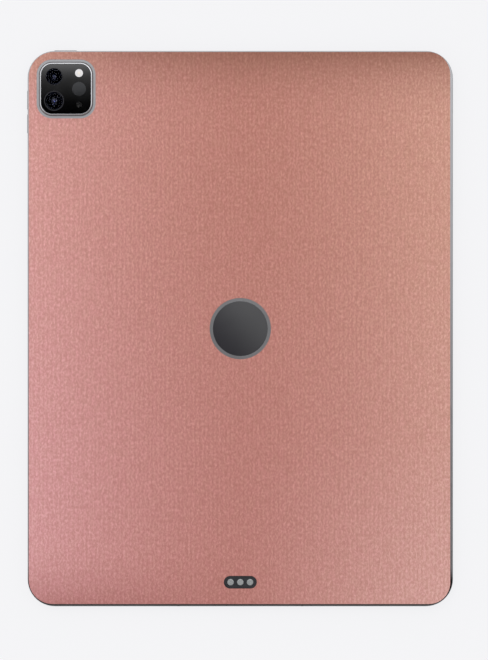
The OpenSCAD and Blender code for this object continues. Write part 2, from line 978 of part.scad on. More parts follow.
module logic_board() {
    middle_y = (board_low_y + board_high_y) / 2;
    color("darkgreen")
        difference() {
            union() {
                block([0, middle_y], 2 * board_half_w, board_high_y - board_low_y, 2,
                    board_z, can_z);
                for (y = [board_low_y + 10, board_high_y - 12])
                    block([0, y], 12, 3.2, 0.4, board_z - socket_h, board_z);
            }
            for (at = BOARD_SCREWS)
                disc(at, screw_clear_r, board_z - past, can_z + past);
        }
}

module processor() {
    color("black")
        block([0, CAN_Y[0]], processor_w, processor_w, 0.6, can_z, can_z + processor_t);
}

module storage_chips() {
    color("darkslategray")
        for (at = STORAGE_AT)
            block(at, 10, 11, 0.4, can_z, can_z + storage_t);
}

module shield_cans() {
    color("silver")
        for (i = [0, 1])
            difference() {
                block([0, CAN_Y[i]], can_w, CAN_L[i], 1, can_z, can_z + can_h);
                block([0, CAN_Y[i]], can_w - 2 * can_t, CAN_L[i] - 2 * can_t, 0.8,
                    can_z - past, can_z + can_h - can_t);
            }
}

module graphite_sheet() {
    color("dimgray")
        block([0, (CAN_Y[0] + CAN_Y[1]) / 2], 2 * board_half_w - 5, 124, 1,
            can_z + can_h, can_z + can_h + graphite_t);
}

// A pouch cell with soft edges, and its tab towards the battery board. side is 1 or -1.
module battery(side) {
    high = roof_z - adhesive_t;
    middle = (battery_in + battery_out) / 2;
    union() {
        translate([side * middle, 0, 0])
            soft_slab(battery_out - battery_in, 2 * battery_half_l, 3, battery_z, high,
                battery_edge_r);
        translate([side > 0 ? board_half_w : -battery_in,
            battery_board_y - battery_tab_w / 2, battery_tab_z])
                cube([battery_in - board_half_w, battery_tab_w, battery_tab_t]);
    }
}

module battery_left() {
    color("darkgray")
        battery(-1);
}

module battery_right() {
    color("darkgray")
        battery(1);
}

module battery_adhesive() {
    color("ivory")
        for (x = ADHESIVE_X)
            block([x, 0], 9, 180, 1, roof_z - adhesive_t, roof_z);
}

module battery_board() {
    high = battery_board_z + battery_board_t;
    color("darkgreen")
        union() {
            block([0, battery_board_y], 2 * board_half_w, 12, 1, battery_board_z, high);
            block([0, battery_board_y], 14, 4, 0.5, high, high + 0.5);
        }
}

// A sealed speaker box with a round diaphragm and a nose that meets its grille.
// The side is 1 for the top edge and -1 for the bottom edge.
module speaker(x, side) {
    nose_w = grille_w + 1;
    nose_y = speaker_y + speaker_l / 2;
    mirror([0, side > 0 ? 0 : 1, 0])
        difference() {
            union() {
                block([x, speaker_y], speaker_w, speaker_l, 2, speaker_z, roof_z);
                translate([x - nose_w / 2, nose_y, grille_z])
                    cube([nose_w, inner_y - mesh_t - nose_y, grille_h]);
            }
            disc([x, speaker_y], diaphragm_r, speaker_z - past, speaker_z + 0.3);
        }
}

module speaker_top_left() {
    color("dimgray")
        speaker(-speaker_x, 1);
}

module speaker_top_right() {
    color("dimgray")
        speaker(speaker_x, 1);
}

module speaker_bottom_left() {
    color("dimgray")
        speaker(-speaker_x, -1);
}

module speaker_bottom_right() {
    color("dimgray")
        speaker(speaker_x, -1);
}

module speaker_meshes() {
    mesh_w = grille_w + 0.6;
    color("black")
        for (x = [-speaker_x, speaker_x], side = [-1, 1])
            translate([x - mesh_w / 2, side * (inner_y - mesh_t / 2) - mesh_t / 2, grille_z])
                cube([mesh_w, mesh_t, grille_h]);
}

module stylus_charging_coil() {
    color("peru")
        on_left_wall(0)
            difference() {
                bar(coil_l, coil_w, -side_wall - coil_t - 0.1, -side_wall - 0.1);
                bar(coil_l - 2, coil_w - 2, -side_wall - coil_t - past, -side_wall);
            }
}

module edge_magnets() {
    color("slategray")
        for (side = [-1, 1], y = MAGNET_Y)
            block([side * (inner_x - 2), y], 2.6, 18, 0.4, 2.6, roof_z);
}

// A flexible strip, drawn as its side view in y and z
module strip(w, outline) {
    translate([-w / 2, 0, 0])
        rotate([90, 0, 90])
            linear_extrude(w)
                polygon(outline);
}

// It runs from the back of the picture layers to the board's lower socket
module display_cable() {
    tail_low = -76;
    tail_high = -72;
    plug_low = -53.6;
    plug_high = -50.4;
    start_z = backlight_z + backlight_t;
    low = start_z + 0.15;
    high = start_z + 0.3;
    color("orange")
        strip(10, [
            [tail_low, start_z], [tail_high, start_z], [tail_high, low], [plug_high, low],
            [plug_high, board_z - socket_h], [plug_low, board_z - socket_h],
            [plug_low, high], [tail_low, high]
        ]);
}

// It runs from the accessory connector along the back wall, and down to the board's top face
module connector_cable() {
    t = 0.15;
    start_y = pad_y - 3;
    bend_y = board_low_y - 4;
    land_y = board_low_y + 0.5;
    end_y = board_low_y + 5;
    color("orange")
        strip(12, [
            [start_y, roof_z], [start_y, roof_z - t], [bend_y, roof_z - t],
            [land_y, can_z + t], [land_y, can_z], [end_y, can_z], [end_y, can_z + 2 * t],
            [land_y + 0.5, can_z + 2 * t], [bend_y + 0.5, roof_z]
        ]);
}

// ---- Fasteners ----

module screws() {
    color("lightgray")
        for (s = SCREWS)
            translate([s[0], s[1], s[2]])
                difference() {
                    union() {
                        translate([0, 0, -screw_head_t])
                            cylinder(r = screw_head_r, h = screw_head_t);
                        cylinder(r = screw_r, h = s[3] - s[2] + screw_bite - 0.05);
                    }
                    for (turn = [0, 90])
                        rotate([0, 0, turn])
                            translate([-cross_l / 2, -cross_w / 2, -screw_head_t - past])
                                cube([cross_l, cross_w, past + cross_depth]);
                }
}

back_skin();
rear_housing();
antenna_breaks();
stylus_charging_window();
rear_emblem();
camera_frame();
camera_frame_seal();
camera_glass();
wide_lens_ring();
wide_lens();
ultrawide_lens_ring();
ultrawide_lens();
flash_diffuser();
depth_sensor_window();
rear_microphone_mesh();
connector_pad();
connector_contacts();
power_button();
volume_up_button();
volume_down_button();
usb_c_shell();
usb_c_tongue();
usb_c_contacts();
speaker_meshes();
cover_glass();
glass_gasket();
border_mask();
display_panel();
backlight_unit();
front_camera();
infrared_camera();
dot_projector();
ambient_light_sensor();
front_sensor_bracket();
logic_board();
processor();
storage_chips();
shield_cans();
graphite_sheet();
battery_left();
battery_right();
battery_adhesive();
battery_board();
speaker_top_left();
speaker_top_right();
speaker_bottom_left();
speaker_bottom_right();
wide_camera_module();
ultrawide_camera_module();
depth_sensor_module();
flash_led();
camera_bracket();
power_button_switch();
volume_button_switches();
button_brackets();
stylus_charging_coil();
edge_magnets();
display_cable();
connector_cable();
screws();
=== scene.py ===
import json
import math

import bpy
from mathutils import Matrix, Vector

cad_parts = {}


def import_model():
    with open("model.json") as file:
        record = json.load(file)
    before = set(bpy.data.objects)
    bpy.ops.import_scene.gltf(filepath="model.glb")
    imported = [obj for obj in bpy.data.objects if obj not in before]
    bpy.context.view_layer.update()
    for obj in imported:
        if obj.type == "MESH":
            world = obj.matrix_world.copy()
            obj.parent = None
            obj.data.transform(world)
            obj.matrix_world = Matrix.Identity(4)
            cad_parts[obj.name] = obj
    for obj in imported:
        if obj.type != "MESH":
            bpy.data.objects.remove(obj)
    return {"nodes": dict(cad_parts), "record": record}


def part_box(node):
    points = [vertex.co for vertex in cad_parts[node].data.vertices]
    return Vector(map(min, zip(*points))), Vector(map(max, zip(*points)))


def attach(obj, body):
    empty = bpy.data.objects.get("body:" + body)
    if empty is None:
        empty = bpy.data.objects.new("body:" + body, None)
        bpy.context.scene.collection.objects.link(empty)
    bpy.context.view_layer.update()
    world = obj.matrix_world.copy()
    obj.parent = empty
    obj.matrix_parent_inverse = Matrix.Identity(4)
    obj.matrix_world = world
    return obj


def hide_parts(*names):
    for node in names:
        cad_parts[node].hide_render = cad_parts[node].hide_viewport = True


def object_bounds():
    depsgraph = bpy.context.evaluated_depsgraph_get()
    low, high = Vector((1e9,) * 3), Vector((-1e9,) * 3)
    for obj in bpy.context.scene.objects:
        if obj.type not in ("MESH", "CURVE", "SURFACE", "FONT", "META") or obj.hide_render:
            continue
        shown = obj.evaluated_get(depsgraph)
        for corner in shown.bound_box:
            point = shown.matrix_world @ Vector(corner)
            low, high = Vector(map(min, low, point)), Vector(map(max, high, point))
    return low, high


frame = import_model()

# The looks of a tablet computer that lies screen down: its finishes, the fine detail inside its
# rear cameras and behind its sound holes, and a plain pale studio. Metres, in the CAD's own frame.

cad_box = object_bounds()
MM = 0.001
BODY = "chassis"


def shade(red, green, blue):
    """A colour given by its 8-bit display values, as the linear values that shaders take."""
    def linear(value):
        value /= 255
        return value / 12.92 if value <= 0.04045 else ((value + 0.055) / 1.055) ** 2.4
    return linear(red), linear(green), linear(blue)


# ---- A short way to write node trees ----

class Finish:
    """One material. Its calls add the nodes that the finishes share, and sizes are in millimetres."""

    def __init__(self, name, color, roughness, metallic=0.0, **shader):
        self.material = bpy.data.materials.new(name)
        self.material.use_nodes = True
        self.tree = self.material.node_tree
        self.shader = self.tree.nodes["Principled BSDF"]
        self.place = self.add("ShaderNodeTexCoord").outputs["Object"]
        self.set("Base Color", color)
        self.set("Roughness", roughness)
        self.set("Metallic", metallic)
        for socket, value in shader.items():
            self.set(socket.replace("_", " "), value)

    def add(self, kind, **settings):
        node = self.tree.nodes.new(kind)
        for name, value in settings.items():
            setattr(node, name, value)
        return node

    def feed(self, socket, value):
        """Links a socket to another one, or sets its constant."""
        if isinstance(value, bpy.types.NodeSocket):
            self.tree.links.new(value, socket)
        elif isinstance(value, tuple) and len(value) == 3 and socket.type == "RGBA":
            socket.default_value = (*value, 1)
        else:
            socket.default_value = value

    def set(self, socket, value):
        self.feed(self.shader.inputs[socket], value)

    def math(self, operation, a, b=0.0):
        node = self.add("ShaderNodeMath", operation=operation)
        self.feed(node.inputs[0], a)
        self.feed(node.inputs[1], b)
        return node.outputs[0]

    def vector(self, operation, a, b):
        node = self.add("ShaderNodeVectorMath", operation=operation)
        self.feed(node.inputs[0], a)
        self.feed(node.inputs[1], b)
        return node.outputs["Value" if operation == "LENGTH" else "Vector"]

    def axis(self, name, place=None):
        node = self.add("ShaderNodeSeparateXYZ")
        self.feed(node.inputs[0], place or self.place)
        return node.outputs[name]

    def scaled(self, size, place=None):
        """The place, in units of size, which is one number or one for each axis."""
        sizes = size if isinstance(size, tuple) else (size, size, size)
        return self.vector("MULTIPLY", place or self.place, tuple(1 / (s * MM) for s in sizes))

    def noise(self, size, detail=2.0, roughness=0.5, place=None, output="Fac"):
        node = self.add("ShaderNodeTexNoise")
        self.feed(node.inputs["Vector"], self.scaled(size, place))
        node.inputs["Scale"].default_value = 1
        node.inputs["Detail"].default_value = detail
        node.inputs["Roughness"].default_value = roughness
        return node.outputs[output]

    def cells(self, size, place, feature, smooth=0.0):
        node = self.add("ShaderNodeTexVoronoi", feature=feature)
        self.feed(node.inputs["Vector"], self.scaled(size, place))
        node.inputs["Scale"].default_value = 1
        if feature == "SMOOTH_F1":
            node.inputs["Smoothness"].default_value = smooth
        return node.outputs["Distance"]

    def spread(self, value, low, high, to_low=0.0, to_high=1.0):
        """Maps low to to_low and high to to_high, and holds the ends."""
        node = self.add("ShaderNodeMapRange", interpolation_type="SMOOTHSTEP")
        for name, number in zip(("Value", "From Min", "From Max", "To Min", "To Max"),
                                (value, low, high, to_low, to_high)):
            self.feed(node.inputs[name], number)
        return node.outputs["Result"]

    def mix(self, factor, a, b, blend="MIX"):
        # Several of this node's sockets share a name, so its colour sockets go by their numbers
        node = self.add("ShaderNodeMix", data_type="RGBA", blend_type=blend)
        self.feed(node.inputs["Factor"], factor)
        self.feed(node.inputs[6], a)
        self.feed(node.inputs[7], b)
        return node.outputs[2]

    def bump(self, height, depth, strength=1.0, below=None):
        """Roughens the surface by depth millimetres where the height runs from 0 to 1."""
        node = self.add("ShaderNodeBump")
        node.inputs["Strength"].default_value = strength
        node.inputs["Distance"].default_value = depth * MM
        self.feed(node.inputs["Height"], height)
        if below is not None:
            self.feed(node.inputs["Normal"], below)
        self.set("Normal", node.outputs["Normal"])
        return node.outputs["Normal"]

    def radius_from(self, centre):
        """Distance in millimetres from an upright axis through the centre."""
        flat = self.vector("MULTIPLY", self.place, (1.0, 1.0, 0.0))
        offset = self.vector("SUBTRACT", flat, (centre.x, centre.y, 0.0))
        return self.math("DIVIDE", self.vector("LENGTH", offset, (0.0, 0.0, 0.0)), MM)

    def vary(self, dark, light, size, roughness, spot, grit):
        """Uneven colour and gloss: a slow drift between two colours, small spots, and grit as bump."""
        drift = self.noise(size, 3)
        fine = self.noise(spot, 2)
        tone = self.math("ADD", self.math("MULTIPLY", drift, 0.6), self.math("MULTIPLY", fine, 0.4))
        self.set("Base Color", self.mix(self.spread(tone, 0.3, 0.7), dark, light))
        self.set("Roughness", self.spread(self.noise(size * 0.6, 3), 0.3, 0.7, *roughness))
        self.bump(fine, grit, 0.5)
        return self


# ---- Measures taken from the frame ----

def middle(node):
    low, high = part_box(node)
    return (low + high) / 2


def half_width(node):
    low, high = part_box(node)
    return (high.x - low.x) / 2


housing_low, housing_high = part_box("rear_housing")
skin_low, skin_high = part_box("back_skin")
emblem = middle("rear_emblem")
plateau = middle("camera_glass")
plateau_half = half_width("camera_glass")
wide = middle("wide_lens")
ultrawide = middle("ultrawide_lens")
BUTTONS = ("power_button", "volume_up_button", "volume_down_button")


# ---- Finishes ----

MIDDLE_TONE = shade(188, 124, 111)
# The tones below are painted light on the film: painted sheen in the pale ones, painted shade in the deep
# ones.
LEFT_SHEEN = shade(215, 155, 150)
RIGHT_SHEEN = shade(208, 154, 137)
TOP_SHADE = shade(144, 90, 70)
FOOT_SHADE = shade(161, 93, 85)
CORNER_SHEEN = shade(226, 177, 168)
CAMERA_SHEEN = shade(214, 160, 136)


def skin_sheen_and_shade(f):
    """The film's middle tone with painted light on it: painted sheen along both sides, at the lower right
    and by the camera, painted shade along the top edge and at the foot, and a painted tint that is warmer
    towards the top.
    """
    half_x = (skin_high.x - skin_low.x) / 2
    half_y = (skin_high.y - skin_low.y) / 2
    across = f.math("DIVIDE", f.axis("X"), half_x)
    along = f.math("DIVIDE", f.axis("Y"), half_y)

    def ramp(value, start, end, power):
        """Rises from 0 at start to 1 at end."""
        part = f.math("DIVIDE", f.math("SUBTRACT", value, start), end - start)
        return f.math("POWER", f.math("MINIMUM", f.math("MAXIMUM", part, 0.0), 1.0), power)

    tone = f.mix(ramp(across, 0.1, -1.0, 1.7), MIDDLE_TONE, LEFT_SHEEN)
    tone = f.mix(ramp(across, -0.05, 1.0, 1.7), tone, RIGHT_SHEEN)
    top = f.math("MULTIPLY", ramp(along, 0.68, 1.0, 3.0), f.spread(across, -1.0, 0.2, 0.6, 1.0))
    tone = f.mix(f.math("MULTIPLY", top, 0.9), tone, TOP_SHADE)
    foot = f.math("MULTIPLY", ramp(along, -0.78, -1.0, 1.8), f.spread(across, -1.0, 0.5, 1.0, 0.0))
    tone = f.mix(f.math("MULTIPLY", foot, 0.6), tone, FOOT_SHADE)
    corner = f.math("MULTIPLY", ramp(along, -0.4, -1.0, 1.0), ramp(across, 0.0, 1.0, 1.0))
    tone = f.mix(f.math("MULTIPLY", corner, 0.4), tone, CORNER_SHEEN)
    by_camera = f.math("MULTIPLY", ramp(along, 0.84, 0.97, 1.0), ramp(across, -0.55, -0.9, 1.0))
    tone = f.mix(f.math("MULTIPLY", by_camera, 0.3), tone, CAMERA_SHEEN)
    warmth = f.mix(f.spread(along, -0.8, 0.8), (1.0, 1.0, 1.07), (0.97, 0.95, 0.91))
    return f.mix(1.0, tone, warmth, "MULTIPLY")


def skin_film():
    """Rose-copper film with a leather-like grain that runs mostly up and down."""
    f = Finish("skin_film", MIDDLE_TONE, 0.5, 0.0, Specular_IOR_Level=0.35)
    wander = f.vector("SUBTRACT", f.noise((5.0, 9.0, 9.0), 2, output="Color"), (0.5, 0.5, 0.5))
    bent = f.vector("ADD", f.place, f.vector("MULTIPLY", wander, (2.2 * MM, 1.5 * MM, 0.0)))
    pebbles = f.math("SUBTRACT", 1.0, f.cells((1.1, 2.0, 2.0), bent, "SMOOTH_F1", 0.4))
    folds = f.noise((0.75, 1.4, 1.5), 1, 0.5, bent)
    pores = f.noise((0.24, 0.5, 0.5), 1, 0.5, bent)
    rows = f.math("SINE", f.math("MULTIPLY", f.axis("X", bent), 2 * math.pi / (2.2 * MM)))
    grain = f.math("ADD", f.math("MULTIPLY", pebbles, 0.3), folds)
    grain = f.math("ADD", grain, f.math("MULTIPLY", pores, 0.2))
    grain = f.math("ADD", grain, f.math("MULTIPLY", rows, 0.06))
    height = f.spread(grain, 0.45, 1.3)
    shallow = f.spread(f.noise((1.6, 2.4, 2.0), 2), 0.35, 0.7, 0.0, 0.75)
    creases = f.spread(f.cells((0.45, 0.8, 0.8), bent, "DISTANCE_TO_EDGE"), 0.0, 0.16)
    creases = f.math("MAXIMUM", creases, shallow)
    hue = f.spread(f.noise((3.2, 6.5, 6.0), 3, 0.6), 0.35, 0.65)
    base = f.mix(1.0, skin_sheen_and_shade(f), f.mix(hue, (1.01, 0.988, 1.01), (0.992, 1.01, 0.992)), "MULTIPLY")
    # Painted sheen on the grain's raised points, and painted shade in its low points and creases.
    lit = f.mix(height, (0.82, 0.75, 0.72), (1.18, 1.25, 1.28))
    lit = f.mix(1.0, lit, f.mix(creases, (0.88, 0.86, 0.85), (1.04, 1.06, 1.065)), "MULTIPLY")
    f.set("Base Color", f.mix(1.0, base, lit, "MULTIPLY"))
    f.set("Roughness", f.spread(height, 0.0, 1.0, 0.58, 0.44))
    f.bump(creases, 0.02, 0.5, f.bump(height, 0.05, 0.6))
    return f.material


def blasted(f, darkening):
    """Bead-blasted metal: a very fine grit and a slight drift in its grey, mixed towards black by the second
    argument, with which the callers paint shade.
    """
    grit = f.noise(0.1, 2)
    drift = f.math("ADD", f.math("MULTIPLY", f.noise(18, 3), 0.6), f.math("MULTIPLY", grit, 0.4))
    metal = f.mix(f.spread(drift, 0.3, 0.7), shade(160, 160, 162), shade(167, 167, 169))
    f.set("Base Color", f.mix(darkening, metal, (0.0, 0.0, 0.0)))
    f.set("Roughness", f.spread(f.noise(11, 3), 0.3, 0.7, 0.3, 0.38))
    f.bump(grit, 0.004, 0.5)
    return f.material


def anodised_aluminium():
    """The housing, with painted shade where it is let in round the emblem and the camera, and
    on the bare rim of its back: at the foot, most of all in the corners, and down its right side."""
    f = Finish("anodised_aluminium", shade(163, 163, 165), 0.34, 1.0)
    up = f.axis("Z")
    top = housing_high.z
    rim = f.spread(up, top - 0.5 * MM, top - 0.15 * MM)
    flat = f.spread(up, top - 0.12 * MM, top - 0.02 * MM)
    start, full = housing_high.x - 10 * MM, housing_high.x - 2 * MM
    corners = f.spread(f.math("ABSOLUTE", f.axis("X")), start, full, 0.0, 0.35)
    right = f.spread(f.axis("X"), start, full)
    at_foot = f.spread(f.axis("Y"), skin_low.y + 20 * MM, skin_low.y + 8 * MM)
    # Painted shade on the bare rim at the foot, deepest in the corners.
    painted_shade = f.math("ADD", f.math("MULTIPLY", flat, 0.55), corners)
    painted_shade = f.math("MULTIPLY", at_foot, f.math("ADD", painted_shade, f.math("MULTIPLY", right, 0.25)))
    # Painted shade down the right rim, deepening towards the foot.
    shade_downwards = f.math("MULTIPLY", right, f.spread(f.axis("Y"), 120 * MM, -140 * MM, 0.0, 0.3))
    shade_downwards = f.math("MULTIPLY", shade_downwards, f.math("SUBTRACT", 1.0, flat))
    painted_shade = f.math("MULTIPLY", rim, f.math("MAXIMUM", painted_shade, shade_downwards))
    painted_shade = f.math("MINIMUM", painted_shade, 0.92)
    # Painted shade round the film's windows for the emblem and the camera.
    by_emblem = f.math("LESS_THAN", f.radius_from(emblem), half_width("rear_emblem") / MM + 3)
    reach = plateau_half + 2.5 * MM
    aside = f.math("DIVIDE", f.math("SUBTRACT", f.axis("X"), plateau.x), reach)
    ahead = f.math("DIVIDE", f.math("SUBTRACT", f.axis("Y"), plateau.y), reach)
    rounded = f.math("ADD", f.math("POWER", aside, 4.0), f.math("POWER", ahead, 4.0))
    by_camera = f.math("LESS_THAN", rounded, 1.0)
    painted_window_shade = f.math("ADD", f.math("MULTIPLY", by_emblem, 0.4), f.math("MULTIPLY", by_camera, 0.24))
    return blasted(f, f.math("MAXIMUM", painted_window_shade, painted_shade))


def button_metal(node):
    """A button's metal, a little darker all over, with painted shade, which isn't metal, where its ends
    enter the housing.
    """
    low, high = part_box(node)
    f = Finish(f"{node}_metal", shade(163, 163, 165), 0.34, 1.0, Specular_IOR_Level=0.0)
    along = "X" if high.x - low.x > high.y - low.y else "Y"
    start, end = (low.x, high.x) if along == "X" else (low.y, high.y)
    from_middle = f.math("ABSOLUTE", f.math("SUBTRACT", f.axis(along), (start + end) / 2))
    uneven = f.math("MULTIPLY", f.noise(0.3, 2), 0.3 * MM)
    reach = (end - start) / 2
    # Painted shade where the button's ends enter the housing.
    ends = f.spread(f.math("ADD", from_middle, uneven), reach - 0.9 * MM, reach - 0.1 * MM)
    f.set("Metallic", f.math("MULTIPLY", f.math("SUBTRACT", 1.0, ends), 0.85))
    return blasted(f, f.math("ADD", 0.27, f.math("MULTIPLY", ends, 0.68)))


def antenna_plastic():
    f = Finish("antenna_plastic", shade(62, 60, 60), 0.5)
    return f.vary(shade(56, 54, 54), shade(68, 66, 66), 2, (0.42, 0.55), 0.08, 0.004).material


def emblem_metal():
    """Polished dark metal with a painted reflection that is paler towards its upper right, and hairlines in
    its gloss.
    """
    f = Finish("emblem_metal", shade(84, 84, 86), 0.08, 1.0)
    hairs = f.noise((0.05, 7.0, 1.0), 3, 0.7)
    slant = f.math("ADD", f.axis("X"), f.math("MULTIPLY", f.axis("Y"), 0.85))
    slant = f.math("ADD", slant, f.math("MULTIPLY", f.noise(6, 2), 4 * MM))
    reach = 1.3 * half_width("rear_emblem")
    f.set("Base Color", f.mix(f.spread(slant, -reach, reach), shade(67, 66, 70), shade(101, 101, 102)))
    f.set("Roughness", f.spread(hairs, 0.35, 0.75, 0.05, 0.16))
    f.bump(hairs, 0.001, 0.2)
    return f.material


def frame_metal():
    f = Finish("frame_metal", shade(205, 206, 209), 0.16, 1.0)
    return f.vary(shade(200, 201, 205), shade(212, 213, 215), 6, (0.12, 0.2), 0.06, 0.0015).material


def seal_rubber():
    f = Finish("seal_rubber", shade(92, 91, 92), 0.7)
    return f.vary(shade(84, 83, 84), shade(100, 99, 100), 1.5, (0.6, 0.8), 0.07, 0.01).material


def dark_glass():
    """Black-backed glass with the faintest smears in its polish."""
    f = Finish("dark_glass", (0.0005, 0.0005, 0.0006), 0.03, 0.0, IOR=1.52)
    smears = f.noise((9, 14, 9), 4, 0.65)
    f.set("Roughness", f.spread(smears, 0.4, 0.75, 0.02, 0.07))
    f.set("Base Color", f.mix(f.spread(smears, 0.45, 0.8), (0.0004, 0.0004, 0.0005), (0.001, 0.001, 0.0012)))
    return f.material


def lens_metal():
    """Dark metal turned on a lathe, so that its marks are rings round the lens that it holds."""
    f = Finish("lens_metal", shade(56, 56, 60), 0.3, 1.0)
    far = f.math("LESS_THAN", f.axis("Y"), (wide.y + ultrawide.y) / 2)
    radius = f.mix(far, f.radius_from(ultrawide), f.radius_from(wide))
    rings = f.math("SINE", f.math("MULTIPLY", radius, 60.0))
    marks = f.math("ADD", f.math("MULTIPLY", rings, 0.25), f.noise(0.3, 3))
    f.set("Base Color", f.mix(f.spread(marks, 0.2, 0.9), shade(40, 40, 44), shade(70, 70, 74)))
    f.set("Roughness", f.spread(marks, 0.2, 0.9, 0.22, 0.4))
    f.bump(rings, 0.003, 0.3)
    return f.material


def lens_glass():
    """Clear glass with a coating that takes away most of its reflection, faintly blue."""
    f = Finish("lens_glass", (0.45, 0.48, 0.62), 0.0, 0.0, IOR=1.09, Transmission_Weight=1.0)
    dust = f.noise(0.4, 4, 0.7)
    f.set("Roughness", f.spread(dust, 0.6, 0.8, 0.0, 0.04))
    f.set("Base Color", f.mix(f.spread(dust, 0.3, 0.7), (0.43, 0.46, 0.6), (0.47, 0.5, 0.64)))
    return f.material


def lens_coating():
    """The deep element of a lens, whose coating shines violet and blue."""
    f = Finish("lens_coating", (0.004, 0.005, 0.02), 0.06, 0.0, Thin_Film_Thickness=380.0,
               Thin_Film_IOR=1.9, Specular_IOR_Level=0.9)
    far = f.math("LESS_THAN", f.axis("Y"), (wide.y + ultrawide.y) / 2)
    radius = f.mix(far, f.radius_from(ultrawide), f.radius_from(wide))
    f.set("Base Color", f.mix(f.spread(radius, 0.0, 1.4), (0.03, 0.045, 0.12), (0.002, 0.002, 0.01)))
    return f.material


def baffle_black():
    f = Finish("baffle_black", shade(10, 10, 13), 0.5, Specular_IOR_Level=0.06)
    return f.vary(shade(7, 7, 10), shade(14, 14, 18), 0.6, (0.42, 0.6), 0.05, 0.003).material


def flash_plastic():
    """A frosted white lens, a little warmer over its lamp."""
    f = Finish("flash_plastic", shade(240, 238, 232), 0.35, 0.0, IOR=1.49)
    radius = f.radius_from(middle("flash_diffuser"))
    speckle = f.math("MULTIPLY", f.noise(0.12, 2), 0.3)
    warm = f.spread(f.math("ADD", radius, speckle), 0.3, 1.3)
    f.set("Base Color", f.mix(warm, shade(232, 224, 212), shade(226, 224, 224)))
    f.bump(f.noise(0.09, 2), 0.01, 0.4)
    return f.material


def sensor_window():
    """Smoked glass, deeper in tone towards the foot of the window, as a painted reflection that is paler
    towards its top.
    """
    f = Finish("sensor_window", shade(38, 39, 41), 0.1, 0.0, IOR=1.5)
    low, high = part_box("depth_sensor_window")
    speckle = f.math("MULTIPLY", f.noise(0.15, 2), 0.5 * MM)
    height = f.math("ADD", f.axis("Y"), speckle)
    f.set("Base Color", f.mix(f.spread(height, low.y - 1 * MM, high.y + 1 * MM),
                              shade(27, 28, 30), shade(48, 49, 51)))
    f.set("Roughness", f.spread(f.noise(1.5, 3), 0.3, 0.7, 0.08, 0.11))
    return f.material


def fine_mesh():
    f = Finish("fine_mesh", shade(18, 18, 19), 0.45, 0.5, Specular_IOR_Level=0.1)
    return f.vary(shade(14, 14, 15), shade(23, 23, 24), 0.7, (0.38, 0.55), 0.04, 0.003).material


def pad_plastic():
    f = Finish("pad_plastic", shade(40, 41, 44), 0.55, Specular_IOR_Level=0.3)
    return f.vary(shade(33, 34, 37), shade(47, 48, 51), 3, (0.48, 0.62), 0.07, 0.006).material


def contact_metal():
    """Plated contacts, each brushed in rings round its own middle."""
    f = Finish("contact_metal", shade(176, 177, 180), 0.3, 0.5)
    low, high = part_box("connector_contacts")
    pitch = (high.x - low.x) / 2 - (high.y - low.y) / 2
    nearest = f.math("ROUND", f.math("DIVIDE", f.axis("X"), pitch))
    x = f.math("SUBTRACT", f.axis("X"), f.math("MULTIPLY", nearest, pitch))
    y = f.math("SUBTRACT", f.axis("Y"), (low.y + high.y) / 2)
    radius = f.math("SQRT", f.math("ADD", f.math("MULTIPLY", x, x), f.math("MULTIPLY", y, y)))
    rings = f.math("SINE", f.math("MULTIPLY", radius, 50 / MM))
    marks = f.math("ADD", f.math("MULTIPLY", rings, 0.3), f.noise(0.5, 3))
    f.set("Base Color", f.mix(f.spread(marks, 0.2, 0.9), shade(164, 167, 167), shade(188, 191, 190)))
    f.set("Roughness", f.spread(marks, 0.2, 0.9, 0.22, 0.36))
    f.bump(rings, 0.002, 0.3)
    return f.material


def gold_plate():
    f = Finish("gold_plate", shade(212, 168, 84), 0.22, 1.0)
    return f.vary(shade(204, 158, 76), shade(222, 180, 96), 0.6, (0.16, 0.3), 0.04, 0.001).material


def port_steel():
    """Drawn steel, with marks along the way that it was drawn."""
    f = Finish("port_steel", shade(150, 150, 152), 0.28, 1.0)
    marks = f.noise((0.05, 2.5, 0.05), 3, 0.6)
    f.set("Base Color", f.mix(f.spread(marks, 0.3, 0.7), shade(140, 140, 142), shade(164, 164, 166)))
    f.set("Roughness", f.spread(marks, 0.3, 0.7, 0.2, 0.36))
    f.bump(marks, 0.002, 0.3)
    return f.material


def black_plastic():
    f = Finish("black_plastic", shade(28, 28, 29), 0.5)
    return f.vary(shade(24, 24, 25), shade(34, 34, 35), 3, (0.42, 0.58), 0.08, 0.008).material


def window_paint():
    f = Finish("window_paint", shade(140, 140, 142), 0.35, 0.0, Coat_Weight=0.3)
    return f.vary(shade(134, 134, 136), shade(146, 146, 148), 4, (0.3, 0.4), 0.1, 0.002).material


def cover_glass():
    f = Finish("cover_glass", (0.93, 0.96, 0.97), 0.02, 0.0, IOR=1.5, Transmission_Weight=1.0)
    f.set("Roughness", f.spread(f.noise((30, 40, 30), 4, 0.65), 0.45, 0.8, 0.01, 0.05))
    return f.material


def gasket():
    f = Finish("gasket", shade(26, 26, 26), 0.65)
    return f.vary(shade(22, 22, 22), shade(32, 32, 32), 2, (0.55, 0.75), 0.1, 0.006).material


def border_ink():
    f = Finish("border_ink", shade(13, 13, 14), 0.4)
    return f.vary(shade(11, 11, 12), shade(15, 15, 16), 12, (0.35, 0.45), 0.06, 0.001).material


def display_layer():
    """A picture panel that is switched off: near black, with its rows of cells faintly seen."""
    f = Finish("display_layer", shade(17, 18, 21), 0.25)
    row = f.math("SINE", f.math("MULTIPLY", f.axis("Y"), 2 * math.pi / (0.096 * MM)))
    column = f.math("SINE", f.math("MULTIPLY", f.axis("X"), 2 * math.pi / (0.032 * MM)))
    cell = f.math("MULTIPLY", row, column)
    f.set("Base Color", f.mix(f.spread(cell, -1.0, 1.0), shade(15, 16, 19), shade(20, 21, 25)))
    return f.material


def backlight_film():
    f = Finish("backlight_film", shade(236, 238, 240), 0.55)
    return f.vary(shade(230, 233, 236), shade(242, 243, 244), 20, (0.5, 0.6), 0.12, 0.002).material


